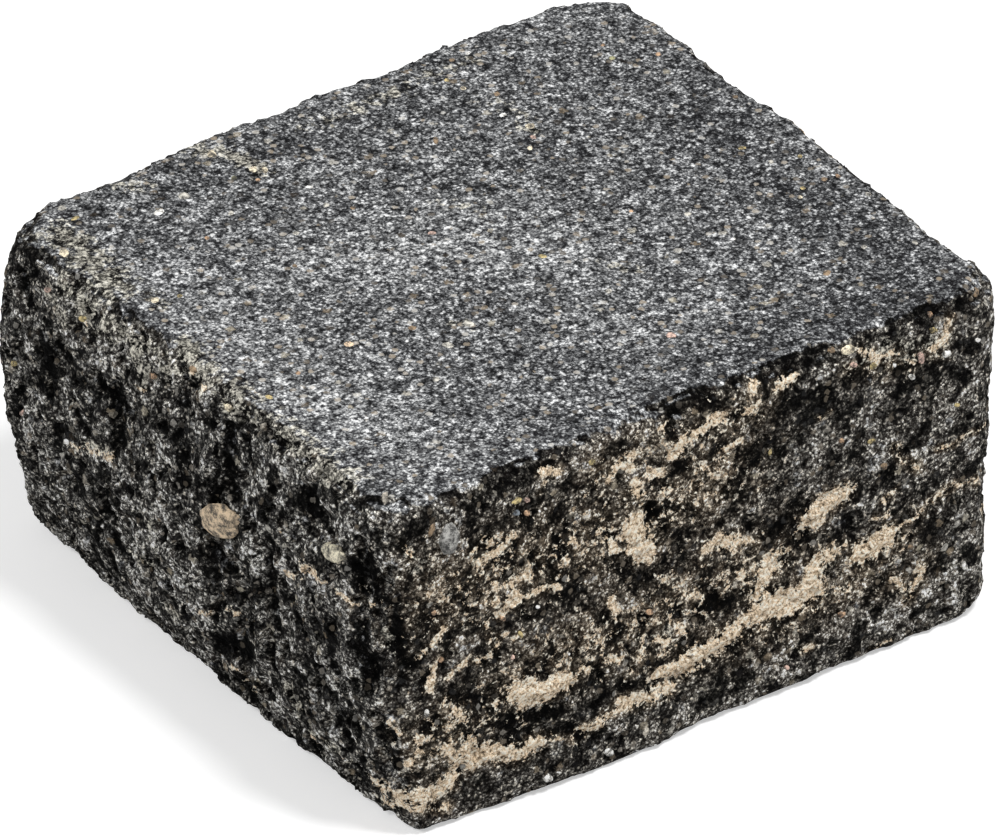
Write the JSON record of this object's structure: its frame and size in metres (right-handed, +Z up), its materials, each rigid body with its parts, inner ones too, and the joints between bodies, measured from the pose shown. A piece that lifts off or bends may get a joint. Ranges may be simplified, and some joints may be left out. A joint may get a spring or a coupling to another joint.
{
  "type": "concrete wall block",
  "caption": "Split and tumbled concrete wall block: flat pressed bed faces, rough cleft sides with tan veins, and worn arrises.",
  "frame": {"origin": "middle of the lower bed face", "axes": "+Z up through the course height, +X along the longer side to the right, -Y to the front, the veined side"},
  "size_m": [0.2582, 0.242, 0.125],
  "materials": {
    "concrete": "rough"
  },
  "bodies": {
    "root": {"wall_block": "concrete"}
  },
  "joints": []
}
